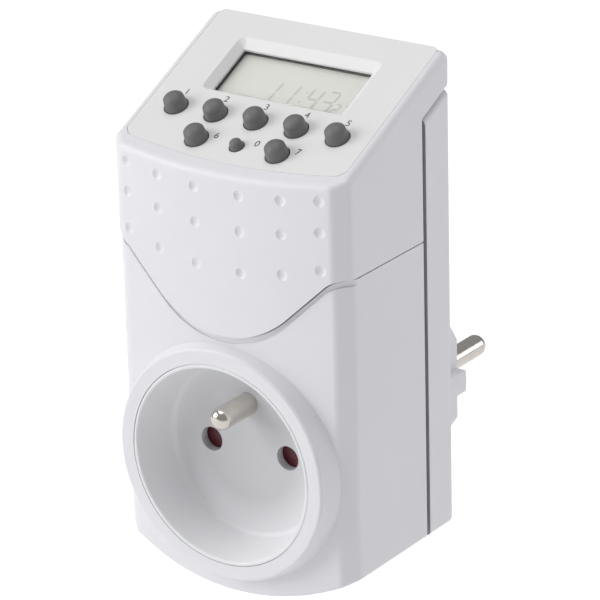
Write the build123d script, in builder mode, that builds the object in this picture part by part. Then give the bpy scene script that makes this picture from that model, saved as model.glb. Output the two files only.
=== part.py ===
from build123d import *
import os
from math import cos, radians, sin, sqrt, tan

# Plug-in digital timer switch. Millimetres, +Z up, front towards -Y.
# The origin is the middle of the plug's end face, on the axis that the plug shares with the socket.

# ---- Plug at the back ----
plug_length = 21.1          # casing's rear face to the plug's end face
plug_diameter = 37.0
plug_across_flats = 32.4
plug_wall = 2.4
plug_end_wall = 4.5
guide_rib_height = 4.8      # rib in the middle of each side flat
pin_spacing = 19.0
pin_diameter = 4.8
pin_length = 19.0
pin_neck_diameter = 4.0     # inside the end wall, so the pin's shoulder sits on the end face
pin_head_diameter = 7.6
pin_head_thickness = 2.0
pin_tail_diameter = 3.6
pin_tail_end = -17.0        # where the tail meets its strip
rivet_diameter = 2.6
earth_height = 10.0         # earth contact above the pins
earth_hole_diameter = 5.8
earth_bore_diameter = 5.0
earth_sleeve_diameter = 6.6
earth_sleeve_mouth = -1.2   # sleeve's end, just behind the end face
earth_bore_depth = 15.2
earth_clip_width = 4.4
earth_clip_reach = -2.2     # end of the side contacts, behind the end face
earth_clip_depth = 0.35     # side contacts below the plug's round
clip_slack = 0.3            # beside a side contact in its channel
clip_bar_offset = 2.4       # bar of the side contacts, in front of the pins' strips
plug_edge_round = 0.9
pin_tip_flat = 0.3

# ---- Casing ----
casing_width = 57.3
casing_depth = 41.5
case_top = 81.9             # plug axis to the panel plane, at the rear face
case_drop = 28.9            # plug axis to the lowest point of the rounded bottom
bulge_radius = 140.0        # front face seen from above
bottom_radius = 59.0
front_corner = 2.9          # cut corner between front and sides
corner_round = 2.2
rear_corner_round = 2.0
panel_angle = 25.7          # slope of the top
top_edge_round = 1.8
bottom_edge_round = 1.0
rear_edge_round = 1.1
wall = 2.0
lip = 1.0                   # inner tongue that closes each parting line
lip_length = 2.4
fit_gap = 0.1               # between a tongue and the wall it slides in
shield_step = 0.6           # the shield stands proud of the lower shell's front
rear_depth = 9.7            # visible strip of the rear shell
parting_gap = 1.2
cap_depth = 6.5             # upper shell's top, where it covers the rear shell
top_plate = 3.0             # upper shell's top, panel and ledge together

# ---- Shield: lower edge of the upper shell, and its dimples ----
shield_low = 27.7           # lowest point of the curved edge
shield_side = 43.6          # level edge at the sides
shield_flank = 43.5         # angle of the straight flanks
shield_round = 22.0
shield_turn = 6.0
seam_gap = 0.3
seam_groove = 1.5           # width of the lowered band under the seam
seam_groove_depth = 0.5
dimple_side = 5.05          # outer column from the casing's side
dimple_outer_step = 8.5     # outer column to the middle one
dimple_inner = 5.5          # inner column from the middle of the shield
dimple_rows = ((58.3, 0.0030), (50.8, 0.0049), (42.0, 0.0064))    # height, and rise with x squared
dimple_radius = 1.2
dimple_depth = 0.45

# ---- Control panel ----
panel_side_inset = 1.95
panel_front_inset = 3.05
panel_rear_inset = 1.2
panel_corner = 1.5
panel_corner_round = 1.4
panel_thickness = 1.8
panel_gap = 0.08
ledge_width = 1.5
window_side = 10.95         # panel's side to the window
window_height = 12.5
window_low_gap = 2.18       # least space between the window's bevel and the top key row
window_low_share = 0.3      # share of the spare length that adds to it
bevel_side = 1.8
bevel_up = 2.25
bevel_down = 1.35
bevel_depth = 1.3
bevel_round = 1.6
window_round = 0.3

# ---- Keys ----
key_diameter = 4.9
key_hole_diameter = 5.3
key_side = 7.04             # panel's side to the outer keys
key_front = 4.94            # panel's front edge to the lower row
key_row_gap = 7.4           # between the two rows
key_rise = 2.2              # straight part above the panel
key_dome = 1.1
key_taper = 0.3
key_flange_margin = 0.95    # flange beyond the cap
key_flange = 1.0
key_travel = 0.8
reset_diameter = 3.0
reset_hole_diameter = 3.4
reset_rise = 1.2
reset_dome = 0.6
reset_travel = 0.5
plunger_diameter = 3.4
plunger_stop = 0.15         # left between a plunger and the board at full travel
seat = 0.03                 # flange below the panel

# ---- Behind the panel ----
lens_thickness = 0.8
lens_margin = 1.6
gasket_thickness = 0.4
lcd_thickness = 2.0
lcd_post_gap = 0.9          # beside the posts
lcd_margin = 0.5            # glass above and below the window
control_board_depth = 6.0   # panel plane to the board's face
control_board_gap = 1.05    # to the tongue of the shells
control_board_rear = 7.0    # panel's rear edge to the board's
control_board_front = 0.06  # panel's front edge to the board's
board_thickness = 1.6
control_board_thickness = 1.2
mat_thickness = 1.0
mat_inset = 0.5             # from the board's sides
mat_rear = 3.4              # beyond the top key row
mat_front = 1.0             # from the board's front edge
mat_hole_diameter = 4.4
mat_collar_diameter = 6.6
mat_collar_gap = 0.32       # from a collar's rim to the flange at full travel
strip_width = 2.0
post_diameter = 4.2
post_side = 4.7             # panel's side to a post
post_rear = 2.2             # board's rear edge to the rear posts
post_front = 6.2            # top key row to the front posts

# ---- Socket in the front ----
collar_height = 1.9         # collar face in front of the casing's front
collar_face_radius = 25.0
collar_base_radius = 26.3
collar_edge_round = 0.7
recess_depth = 10.45
recess_mouth_radius = 20.9
recess_floor_radius = 19.2
recess_floor_round = 1.2
cup_radius = 21.8
cup_gap = 0.05
cup_lip_round = 0.35
cup_floor = 2.0
cup_skirt = 5.6             # behind the recess floor
cup_wall_behind = 1.6
socket_hole_diameter = 5.3
earth_pin_diameter = 4.8
earth_neck_diameter = 4.0   # behind the recess floor, where the pin's shoulder sits
earth_pin_length = 11.3
earth_pin_tip_round = 2.1

# ---- Shutter and contacts behind the recess floor ----
shutter_gap = 0.15
shutter_thickness = 2.0
shutter_wing_radius = 3.9
shutter_hub_radius = 3.4
shutter_arm = 4.6
shutter_ramp = 0.7
pivot_radius = 1.5
pivot_clearance = 0.05
carrier_thickness = 2.0
carrier_radius = 19.6
carrier_rim = 1.8
carrier_hole_diameter = 6.2
spring_wire = 0.4
spring_radius = 2.3
spring_turns = 1.75
spring_pitch = 0.45
spring_leg = 5.2            # straight end along the shutter's arm
spring_room = 0.2           # round the wire
shutter_opening = 41.0      # turn that clears the pin holes
contact_gap = 5.0
contact_metal = 0.8
contact_height = 6.6
contact_length = 10.0
contact_start = 1.6         # behind the carrier
strip_metal = 0.8
strip_half_width = 3.0
earth_strip_rise = 3.6      # from the earth pin's axis up to the level run

# ---- Power board ----
power_board_gap = 0.7       # to the posts of the case screws
power_board_height = 27.0
power_board_centre = 40.6   # height of its middle
power_board_back = 6.0      # behind it, to the rear wall
power_post_diameter = 4.4
power_post_inset = 2.2      # from the board's sides
power_post_z = 11.2
relay_length = 19.0
relay_height = 15.5
relay_depth = 15.3
relay_inset = 0.5           # from the board's side
relay_z = 41.0
relay_wall = 0.7
relay_base_thickness = 1.6
coil_radius = 3.9
coil_length = 7.6
coil_flange = 0.8
core_radius = 1.4
core_gap = 0.05
yoke_metal = 1.0
yoke_width = 9.0
coil_offset = 3.0           # coil axis from the middle of the relay, away from the contacts
armature_metal = 1.0
armature_gap = 0.45         # between core and armature
armature_length = 10.0
armature_clearance = 0.06
contact_button_radius = 1.2
button_height = 0.5
contact_opening = 0.8
spring_metal = 0.3
film_gap = 0.9              # to the relay
film_inset = 0.6            # from the board's side
film_height = 11.0
film_depth = 7.0
film_z = 44.3
electrolytic_radius = 3.8
electrolytic_height = 11.0
electrolytic_z = 34.7
diode_radius = 1.3
diode_length = 4.6
diode_shift = -1.5          # first diode from the relay's middle
diode_pitch = 6.0
diode_gap = 0.5             # under the relay
cell_radius = 5.8
cell_thickness = 5.2
cell_x = -12.5
cell_rear = 8.7             # board's rear edge to the cell's middle
ribbon_width = 12.0
ribbon_thickness = 0.9
ribbon_x = 2.0
ribbon_bend = 4.0
ribbon_overlap = 4.0
ribbon_rear = 8.0           # top key row to the ribbon's end

# ---- Screws ----
case_screw_side = 6.75      # from the casing's side
case_screw_low = -15.0
case_screw_high = 48.0
case_boss_radius = 2.9
case_screw_radius = 1.45
case_screw_reach = 9.0      # into the front shell's boss
case_screw_head_radius = 2.7
case_screw_head = 2.2
case_head_recess = 4.4      # screw head below the rear face
rear_post_radius = 4.2
board_screw_radius = 0.9
board_screw_head_radius = 1.8
board_screw_head = 1.2
board_screw_reach = 3.2
case_screw_slot = 0.8
screw_gap = 0.05

# ---- Worked out from the values above ----
half_width = casing_width / 2
case_screw_x = half_width - case_screw_side
rear_face = -plug_length
front_face = rear_face - casing_depth
collar_face = front_face - collar_height
recess_floor = collar_face + recess_depth
rear_shell_front = rear_face - rear_depth
front_shell_back = rear_shell_front - parting_gap
slope = radians(panel_angle)
panel_plane = Plane(origin=(0, rear_face, case_top), x_dir=(1, 0, 0), z_dir=(0, -sin(slope), cos(slope)))
pin_x = pin_spacing / 2
shell_cavity_inset = wall + fit_gap + lip
panel_half_width = half_width - panel_side_inset
dimple_outer = half_width - dimple_side
dimple_columns = (dimple_inner, dimple_outer - dimple_outer_step, dimple_outer)
cup_back = recess_floor + cup_floor
shutter_front = cup_back + shutter_gap
shutter_back = shutter_front + shutter_thickness
spring_pocket = spring_pitch * spring_turns + spring_wire + spring_room
carrier_front = shutter_back + shutter_gap
carrier_back = carrier_front + carrier_thickness
contact_front = carrier_back + contact_start
contact_back = contact_front + contact_length
strip_level = contact_height / 2
clip_bar_front = pin_tail_end - clip_bar_offset
clip_level = plug_diameter / 2 - earth_clip_depth
power_board_back_face = rear_face - shell_cavity_inset - power_board_back
power_board_face = power_board_back_face - board_thickness
power_board_width = 2 * (case_screw_x - rear_post_radius - power_board_gap)
power_post_x = power_board_width / 2 - power_post_inset
power_post_spots = [
    (x, power_board_centre + z) for x in (-power_post_x, power_post_x) for z in (-power_post_z, power_post_z)
]
relay_x = relay_inset + relay_length / 2 - power_board_width / 2
contact_x = contact_button_radius + 2 * relay_wall - relay_length / 2
film_width = power_board_width - relay_inset - relay_length - film_gap - film_inset
film_x = power_board_width / 2 - film_inset - film_width / 2
electrolytic_x = power_board_width / 2 - film_inset - electrolytic_radius
tall = 3 * case_top         # long enough to pass through the whole casing

# Places on the panel are measured along the slope, from where its plane meets the casing's back.
panel_rear = -panel_rear_inset / cos(slope)
panel_front = (panel_front_inset - casing_depth) / cos(slope)
key_lower_row = panel_front + key_front
key_row = key_lower_row + key_row_gap
key_pitch = (panel_half_width - key_side) / 2
window_width = 2 * (panel_half_width - window_side)
window_spare = panel_rear - key_row - window_height - bevel_up - bevel_down
window_bottom = key_row + window_low_gap + window_low_share * window_spare
window_top = window_bottom + bevel_down + window_height + bevel_up
window_centre = window_bottom + bevel_down + window_height / 2
post_x = panel_half_width - post_side
lcd_width = 2 * (post_x - post_diameter / 2 - lcd_post_gap)
lcd_height = window_height + 2 * lcd_margin
control_board_width = 2 * (half_width - shell_cavity_inset - control_board_gap)
control_board_top = panel_rear - control_board_rear
control_board_bottom = panel_front - control_board_front
post_rows = (control_board_top - post_rear, key_row - post_front)
panel_posts = [(x, y) for x in (-post_x, post_x) for y in post_rows]
mat_top = key_row + mat_rear
mat_bottom = control_board_bottom + mat_front

os.makedirs("parts", exist_ok=True)


def save(piece, name):
    """Label one finished piece and write it to its own file."""
    piece.part.label = name
    export_step(piece.part, f"parts/{name}.step")


def panel_height(y, depth=0.0):
    """Height of the panel plane, or of a plane that lies depth below it, at a place y."""
    return case_top - depth / cos(slope) + (y - rear_face) * tan(slope)


def bulge(x):
    """How far the bulged front has fallen back at a distance x from its middle."""
    return bulge_radius - sqrt(bulge_radius**2 - x**2)


def plan_outline(half, front, back, corner, front_round, back_round):
    """The casing seen from above: bulged front with cut corners, and a square back."""
    shoulder = half - corner
    shoulder_y = front + bulge(shoulder)
    with BuildSketch() as plan:
        with BuildLine():
            ThreePointArc((-shoulder, shoulder_y), (0, front), (shoulder, shoulder_y))
            Polyline(
                (shoulder, shoulder_y),
                (half, shoulder_y + corner),
                (half, back),
                (-half, back),
                (-half, shoulder_y + corner),
                (-shoulder, shoulder_y),
            )
        make_face()
        corners = plan.vertices().sort_by(Axis.Y)
        fillet(corners[:4], front_round)
        fillet(plan.vertices().sort_by(Axis.Y)[-2:], back_round)
    return plan.sketch


def envelope(inset, top_inset, front_step=0.0):
    """The casing's outer form, moved in by inset: the top by top_inset, and the front by front_step more."""
    front_round = max(corner_round - inset / 4, corner_round / 2)
    back_round = max(rear_corner_round - inset / 3, rear_corner_round / 3)
    half = half_width - inset
    front = front_face + inset + front_step
    plan = plan_outline(half, front, rear_face - inset, front_corner, front_round, back_round)
    lowest = inset - case_drop
    arc_radius = bottom_radius - inset
    side_low = lowest + arc_radius - sqrt(arc_radius**2 - half**2)
    with BuildPart() as form:
        with BuildSketch(Plane.XY.offset(-case_drop)):
            add(plan)
        extrude(amount=tall)
        with BuildSketch(Plane.YZ):
            with BuildLine():
                Polyline(
                    (front_face - wall, -tall),
                    (front_face - wall, panel_height(front_face - wall, top_inset)),
                    (rear_face, panel_height(rear_face, top_inset)),
                    (rear_face, -tall),
                    close=True,
                )
            make_face()
        extrude(amount=casing_width, both=True, mode=Mode.INTERSECT)
        with BuildSketch(Plane.XZ):
            with BuildLine():
                ThreePointArc((-half, side_low), (0, lowest), (half, side_low))
                Polyline((half, side_low), (half, tall), (-half, tall), (-half, side_low))
            make_face()
        extrude(amount=tall, both=True, mode=Mode.INTERSECT)
    return form.part


def above_shield(rise):
    """Everything above the upper shell's curved lower edge, with that edge moved up by rise."""
    apex = shield_low - shield_round * (1 / cos(radians(shield_flank)) - 1)
    flank_end = (shield_side - apex) / tan(radians(shield_flank))
    with BuildPart() as region:
        with BuildSketch(Plane.XZ):
            with BuildLine():
                FilletPolyline(
                    (-casing_width, shield_side + rise),
                    (-flank_end, shield_side + rise),
                    (0, apex + rise),
                    (flank_end, shield_side + rise),
                    (casing_width, shield_side + rise),
                    radius=[shield_turn, shield_round, shield_turn],
                )
                Polyline(
                    (casing_width, shield_side + rise),
                    (casing_width, tall),
                    (-casing_width, tall),
                    (-casing_width, shield_side + rise),
                )
            make_face()
        extrude(amount=tall, both=True)
    return region.part


def behind_parting(forward, depth):
    """Everything behind a vertical plane, and below a plane that runs under the sloped top."""
    with BuildPart() as region:
        with BuildSketch(Plane.YZ):
            with BuildLine():
                Polyline(
                    (forward, -tall),
                    (forward, panel_height(forward, depth)),
                    (tall, panel_height(tall, depth)),
                    (tall, -tall),
                    close=True,
                )
            make_face()
        extrude(amount=tall, both=True)
    return region.part


def panel_slab(inset, shallow, deep):
    """The panel's outline, moved in by inset, between two depths below the panel plane."""
    plan = plan_outline(
        panel_half_width - inset,
        front_face + panel_front_inset + inset,
        rear_face - panel_rear_inset - inset,
        panel_corner,
        panel_corner_round,
        panel_corner_round,
    )
    with BuildPart() as slab:
        with BuildSketch(Plane.XY):
            add(plan)
        extrude(amount=tall)
        with BuildSketch(panel_plane.offset(-deep)):
            Rectangle(4 * casing_width, 8 * casing_depth)
        extrude(amount=deep - shallow, mode=Mode.INTERSECT)
    return slab.part


def front_plane(y):
    """A sketch plane across the casing at y, seen from the front: x to the right, y up."""
    return Plane(origin=(0, y, 0), x_dir=(1, 0, 0), z_dir=(0, -1, 0))


def dome_radius(half, height):
    """Radius of the arc that rises by height over a half width."""
    return (half**2 + height**2) / (2 * height)


def dimple_centre(x, z):
    """Centre of the ball that cuts a dimple into the bulged front at x and z."""
    return (x, front_face + bulge(x) + dimple_depth - dome_radius(dimple_radius, dimple_depth), z)


outer_form = envelope(0, 0)
lower_form = envelope(0, 0, shield_step)
groove_form = envelope(0, 0, shield_step + seam_groove_depth)
upper_room = envelope(wall, top_plate)
lip_form = envelope(wall + fit_gap, top_plate + fit_gap)
inner_room = envelope(shell_cavity_inset, top_plate + fit_gap)
rear_side = behind_parting(front_shell_back, cap_depth)
case_screw_spots = [(x, z) for x in (-case_screw_x, case_screw_x) for z in (case_screw_low, case_screw_high)]
dimple_centres = [
    dimple_centre(side * x, height + rise * x**2)
    for height, rise in dimple_rows
    for x in dimple_columns
    for side in (-1, 1)
]

# ---- Upper front shell ----
with BuildPart() as upper_front_shell:
    add(outer_form)
    top_face = upper_front_shell.faces().sort_by(Axis(panel_plane.origin, panel_plane.z_dir))[-1]
    fillet(top_face.edges(), top_edge_round)
    add(upper_room, mode=Mode.SUBTRACT)
    for x in (-case_screw_x, case_screw_x):
        with BuildSketch(front_plane(front_shell_back)):
            with Locations((x, case_screw_high)):
                Circle(case_boss_radius)
        extrude(until=Until.NEXT)
    add(above_shield(0), mode=Mode.INTERSECT)
    add(rear_side, mode=Mode.SUBTRACT)
    add(panel_slab(-panel_gap, -top_plate, panel_thickness), mode=Mode.SUBTRACT)
    add(panel_slab(ledge_width, 0, 2 * top_plate), mode=Mode.SUBTRACT)
    for x in (-case_screw_x, case_screw_x):
        with BuildSketch(front_plane(front_shell_back)):
            with Locations((x, case_screw_high)):
                Circle(case_screw_radius + screw_gap)
        extrude(amount=case_screw_reach + screw_gap, mode=Mode.SUBTRACT)
    dent_radius = dome_radius(dimple_radius, dimple_depth)
    with Locations(*dimple_centres):
        Sphere(dent_radius, rotation=(90, 0, 0), mode=Mode.SUBTRACT)
save(upper_front_shell, "upper_front_shell")

# ---- Lower front shell, with the collar round the socket ----
with BuildPart() as tongue_rebate:
    add(upper_room)
    add(behind_parting(rear_shell_front - lip_length - fit_gap, cap_depth), mode=Mode.INTERSECT)

with BuildPart() as seam_band:
    add(groove_form)
    add(above_shield(-2 * seam_groove), mode=Mode.INTERSECT)

with BuildPart() as lower_front_shell:
    add(lower_form)
    bottom_face = lower_front_shell.faces().sort_by(Axis.Z)[0]
    fillet(bottom_face.edges().sort_by(Axis.Y)[:-1], bottom_edge_round)
    add(above_shield(-seam_groove), mode=Mode.SUBTRACT)
    add(seam_band.part)
    add(above_shield(-seam_gap), mode=Mode.SUBTRACT)
    add(lip_form)
    add(above_shield(lip_length), mode=Mode.SUBTRACT)
    add(inner_room, mode=Mode.SUBTRACT)
    add(rear_side, mode=Mode.SUBTRACT)
    add(tongue_rebate.part, mode=Mode.SUBTRACT)
    with BuildSketch(Plane.YZ):
        with BuildLine():
            Polyline(
                (collar_face, 0),
                (collar_face, collar_face_radius),
                (front_face + shell_cavity_inset, collar_base_radius),
                (front_face + shell_cavity_inset, 0),
                close=True,
            )
        make_face()
    revolve(axis=Axis.Y)
    collar_edge = lower_front_shell.edges().filter_by(GeomType.CIRCLE).sort_by(Axis.Y)[0]
    fillet(collar_edge, collar_edge_round)
    with BuildSketch(front_plane(front_shell_back)):
        with Locations((-case_screw_x, case_screw_low), (case_screw_x, case_screw_low)):
            Circle(case_boss_radius)
    extrude(until=Until.NEXT)
    with BuildSketch(front_plane(front_shell_back)):
        with Locations((-case_screw_x, case_screw_low), (case_screw_x, case_screw_low)):
            Circle(case_screw_radius + screw_gap)
    extrude(amount=case_screw_reach + screw_gap, mode=Mode.SUBTRACT)
    with BuildSketch(front_plane(front_shell_back)):
        Circle(cup_radius + cup_gap)
    extrude(amount=casing_depth, mode=Mode.SUBTRACT)
save(lower_front_shell, "lower_front_shell")


def plug_outline(inset):
    """The plug's section: a round with a flat on each side."""
    with BuildSketch() as section:
        Circle(plug_diameter / 2 - inset)
        Rectangle(plug_across_flats - 2 * inset, plug_diameter, mode=Mode.INTERSECT)
    return section.sketch


# ---- Rear shell, with the plug body ----
plug_section = plug_outline(0)
plug_room = plug_outline(plug_wall)
with BuildPart() as rear_tongue:
    add(lip_form)
    add(behind_parting(rear_shell_front - lip_length, cap_depth - lip_length), mode=Mode.INTERSECT)

with BuildPart() as rear_shell:
    add(outer_form)
    add(behind_parting(rear_shell_front, cap_depth + parting_gap), mode=Mode.INTERSECT)
    rear_outline = rear_shell.faces().sort_by(Axis.Y)[-1].edges()
    fillet(rear_outline, rear_edge_round)
    add(rear_tongue.part)
    add(inner_room, mode=Mode.SUBTRACT)
    # plug body, hollow behind its end wall
    with BuildSketch(front_plane(0)):
        add(plug_section)
        Rectangle(plug_diameter, guide_rib_height)
        Circle(plug_diameter / 2, mode=Mode.INTERSECT)
    extrude(amount=plug_length + wall)
    plug_end = rear_shell.faces().sort_by(Axis.Y)[-1]
    fillet(plug_end.edges(), plug_edge_round)
    with BuildSketch(front_plane(-plug_end_wall)):
        add(plug_room)
    extrude(amount=casing_depth, mode=Mode.SUBTRACT)
    # pins, earth hole and its sleeve's seat
    with BuildSketch(front_plane(0)):
        with Locations((-pin_x, 0), (pin_x, 0)):
            Circle(pin_neck_diameter / 2)
        with Locations((0, earth_height)):
            Circle(earth_hole_diameter / 2)
    extrude(amount=plug_end_wall, mode=Mode.SUBTRACT)
    with BuildSketch(front_plane(earth_sleeve_mouth)):
        with Locations((0, earth_height)):
            Circle(earth_sleeve_diameter / 2)
    extrude(amount=plug_end_wall, mode=Mode.SUBTRACT)
    # channels and slots for the side contacts
    for side in (-1, 1):
        with Locations((0, (clip_bar_front + earth_clip_reach + screw_gap) / 2, side * clip_level)):
            Box(
                earth_clip_width + 2 * clip_slack,
                earth_clip_reach + screw_gap - clip_bar_front,
                2 * strip_metal,
                mode=Mode.SUBTRACT,
            )
        with Locations((0, clip_bar_front + strip_metal / 2, side * (clip_level - plug_wall))):
            Box(earth_clip_width + 2 * clip_slack, strip_metal, 2 * plug_wall, mode=Mode.SUBTRACT)
    # posts for the case screws and for the power board
    with BuildSketch(front_plane(rear_face - wall)):
        with Locations(*case_screw_spots):
            Circle(rear_post_radius)
    extrude(amount=rear_depth - wall)
    with BuildSketch(front_plane(rear_face)):
        with Locations(*case_screw_spots):
            Circle(case_screw_head_radius + 2 * screw_gap)
    extrude(amount=case_head_recess, mode=Mode.SUBTRACT)
    with BuildSketch(front_plane(rear_face)):
        with Locations(*case_screw_spots):
            Circle(case_screw_radius + 2 * screw_gap)
    extrude(amount=casing_depth, mode=Mode.SUBTRACT)
    with BuildSketch(front_plane(rear_face - wall)):
        with Locations(*power_post_spots):
            Circle(power_post_diameter / 2)
    extrude(amount=rear_face - wall - power_board_back_face)
    with BuildSketch(front_plane(power_board_back_face)):
        with Locations(*power_post_spots):
            Circle(board_screw_radius)
    extrude(amount=-board_screw_reach, mode=Mode.SUBTRACT)
save(rear_shell, "rear_shell")


# ---- Control panel, with the posts that carry the control board ----
def on_panel(depth):
    """A sketch plane parallel to the control panel, depth below its face: y runs up the slope."""
    return panel_plane.offset(-depth)


top_keys = [(step * key_pitch, key_row) for step in (-2, -1, 0, 1, 2)]
low_keys = [(step * key_pitch, key_lower_row) for step in (-1, 1)]
reset_spot = (0, key_lower_row)
flange_face = panel_thickness + seat
with BuildPart() as control_panel:
    add(panel_slab(0, 0, panel_thickness))
    # bevelled display window
    with BuildSketch(on_panel(0)):
        with Locations((0, (window_top + window_bottom) / 2)):
            RectangleRounded(window_width + 2 * bevel_side, window_top - window_bottom, bevel_round)
    with BuildSketch(on_panel(bevel_depth)):
        with Locations((0, window_centre)):
            RectangleRounded(window_width, window_height, window_round)
    loft(mode=Mode.SUBTRACT)
    with BuildSketch(on_panel(0)):
        with Locations((0, window_centre)):
            RectangleRounded(window_width, window_height, window_round)
        with Locations(*top_keys, *low_keys):
            Circle(key_hole_diameter / 2)
        with Locations(reset_spot):
            Circle(reset_hole_diameter / 2)
    extrude(amount=-panel_thickness, mode=Mode.SUBTRACT)
    with BuildSketch(on_panel(panel_thickness)):
        with Locations(*panel_posts):
            Circle(post_diameter / 2)
    extrude(amount=panel_thickness - control_board_depth)
    with BuildSketch(on_panel(control_board_depth)):
        with Locations(*panel_posts):
            Circle(board_screw_radius)
    extrude(amount=board_screw_reach, mode=Mode.SUBTRACT)
save(control_panel, "control_panel")

# ---- Display lens ----
with BuildPart() as display_lens:
    with BuildSketch(on_panel(panel_thickness)):
        with Locations((0, window_centre)):
            Rectangle(window_width + 2 * lens_margin, window_height + 2 * lens_margin)
    extrude(amount=-lens_thickness)
save(display_lens, "display_lens")

# ---- Display gasket: a black frame between the lens and the glass ----
gasket_face = panel_thickness + lens_thickness
with BuildPart() as display_gasket:
    with BuildSketch(on_panel(gasket_face)):
        with Locations((0, window_centre)):
            Rectangle(window_width + 2 * lens_margin, window_height + 2 * lens_margin)
            Rectangle(window_width, window_height, mode=Mode.SUBTRACT)
    extrude(amount=-gasket_thickness)
save(display_gasket, "display_gasket")

lcd_face = gasket_face + gasket_thickness
with BuildPart() as lcd_glass:
    with BuildSketch(on_panel(lcd_face)):
        with Locations((0, window_centre)):
            Rectangle(lcd_width, lcd_height)
    extrude(amount=-lcd_thickness / 2)
    with BuildSketch(on_panel(lcd_face + lcd_thickness / 2)):
        with Locations((0, window_centre - strip_width / 2)):
            Rectangle(lcd_width, lcd_height + strip_width)
    extrude(amount=-lcd_thickness / 2)
save(lcd_glass, "lcd_glass")

lcd_back = lcd_face + lcd_thickness
strip_centre = window_centre - lcd_height / 2 - strip_width / 2
with BuildPart() as lcd_connector:
    with BuildSketch(on_panel(lcd_back)):
        with Locations((0, strip_centre + strip_width / 2)):
            Rectangle(lcd_width - 2 * strip_width, strip_width)
    extrude(amount=lcd_back - control_board_depth)
save(lcd_connector, "lcd_connector")

# ---- Control board ----
with BuildPart() as control_board:
    with BuildSketch(on_panel(control_board_depth)):
        with Locations((0, (control_board_top + control_board_bottom) / 2)):
            Rectangle(control_board_width, control_board_top - control_board_bottom)
        with Locations(*panel_posts):
            Circle(board_screw_radius + screw_gap, mode=Mode.SUBTRACT)
    extrude(amount=-control_board_thickness)
save(control_board, "control_board")

# ---- Keypad mat: a rubber sheet on the board, with a collar round each key's plunger ----
mat_face = control_board_depth - mat_thickness
mat_collar_top = flange_face + key_flange + key_travel + mat_collar_gap
with BuildPart() as keypad_mat:
    with BuildSketch(on_panel(control_board_depth)):
        with Locations((0, (mat_top + mat_bottom) / 2)):
            Rectangle(control_board_width - 2 * mat_inset, mat_top - mat_bottom)
        with Locations(*panel_posts):
            Circle(post_diameter / 2 + 4 * fit_gap, mode=Mode.SUBTRACT)
    extrude(amount=mat_thickness)
    with BuildSketch(on_panel(mat_face)):
        with Locations(*top_keys, *low_keys, reset_spot):
            Circle(mat_collar_diameter / 2)
    extrude(amount=mat_face - mat_collar_top, taper=8)
    with BuildSketch(on_panel(0)):
        with Locations(*top_keys, *low_keys, reset_spot):
            Circle(mat_hole_diameter / 2)
    extrude(amount=-control_board_depth, mode=Mode.SUBTRACT)
save(keypad_mat, "keypad_mat")


# ---- Keys ----
def key_at(spot, name, diameter, rise, dome, travel):
    """One key: domed cap above the panel, flange below it, plunger towards the board."""
    plunger_end = control_board_depth - travel - plunger_stop
    cap_radius = diameter / 2
    flange_radius = cap_radius + key_flange_margin
    plunger_radius = min(plunger_diameter / 2, cap_radius)
    shoulder_radius = cap_radius - key_taper
    with BuildPart() as key:
        foot = panel_plane.from_local_coords((*spot, 0))
        axis_plane = Plane(origin=foot, x_dir=(1, 0, 0), z_dir=slope_side)
        with BuildSketch(axis_plane):
            with BuildLine():
                Polyline((0, rise + dome), (0, -plunger_end), (plunger_radius, -plunger_end))
                Polyline(
                    (plunger_radius, -plunger_end),
                    (plunger_radius, -flange_face - key_flange),
                    (flange_radius, -flange_face - key_flange),
                    (flange_radius, -flange_face),
                    (cap_radius, -flange_face),
                    (cap_radius, 0),
                    (shoulder_radius, rise),
                )
                RadiusArc((shoulder_radius, rise), (0, rise + dome), -dome_radius(shoulder_radius, dome))
            make_face()
        revolve(axis=Axis(axis_plane.origin, panel_plane.z_dir))
    save(key, name)


slope_side = (0, -cos(slope), -sin(slope))
for number, spot in enumerate(top_keys + low_keys, start=1):
    key_at(spot, f"key_{number}", key_diameter, key_rise, key_dome, key_travel)
key_at(reset_spot, "reset_key", reset_diameter, reset_rise, reset_dome, reset_travel)

# ---- Socket cup: the recess, with its floor and three holes ----
with BuildPart() as socket_cup:
    with BuildSketch(Plane.YZ):
        with BuildLine():
            Polyline(
                (recess_floor, 0),
                (recess_floor, recess_floor_radius),
                (collar_face, recess_mouth_radius),
                (collar_face, cup_radius),
                (recess_floor + cup_skirt, cup_radius),
                (recess_floor + cup_skirt, cup_radius - cup_wall_behind),
                (cup_back, cup_radius - cup_wall_behind),
                (cup_back, 0),
                close=True,
            )
        make_face()
    revolve(axis=Axis.Y)
    round_edges = socket_cup.edges().filter_by(GeomType.CIRCLE)
    floor_edge = round_edges.filter_by_position(Axis.Y, recess_floor - screw_gap, recess_floor + screw_gap)
    fillet(floor_edge, recess_floor_round)
    round_edges = socket_cup.edges().filter_by(GeomType.CIRCLE)
    mouth_edges = round_edges.filter_by_position(Axis.Y, collar_face - screw_gap, collar_face + screw_gap)
    fillet(mouth_edges, cup_lip_round)
    with BuildSketch(front_plane(recess_floor)):
        with Locations((-pin_x, 0), (pin_x, 0)):
            Circle(socket_hole_diameter / 2)
        with Locations((0, earth_height)):
            Circle(earth_neck_diameter / 2)
    extrude(amount=-cup_floor, mode=Mode.SUBTRACT)
save(socket_cup, "socket_cup")

# ---- Earth pin ----
with BuildPart() as earth_pin:
    with BuildSketch(front_plane(recess_floor)):
        with Locations((0, earth_height)):
            Circle(earth_pin_diameter / 2)
    extrude(amount=earth_pin_length)
    fillet(earth_pin.edges().sort_by(Axis.Y)[0], earth_pin_tip_round)
    with BuildSketch(front_plane(carrier_back)):
        with Locations((0, earth_height)):
            Circle(earth_neck_diameter / 2)
    extrude(amount=carrier_back - recess_floor)
    with BuildSketch(front_plane(carrier_back)):
        with Locations((0, earth_height)):
            Circle(rivet_diameter / 2)
    extrude(amount=-2 * strip_metal)
save(earth_pin, "earth_pin")

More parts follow.
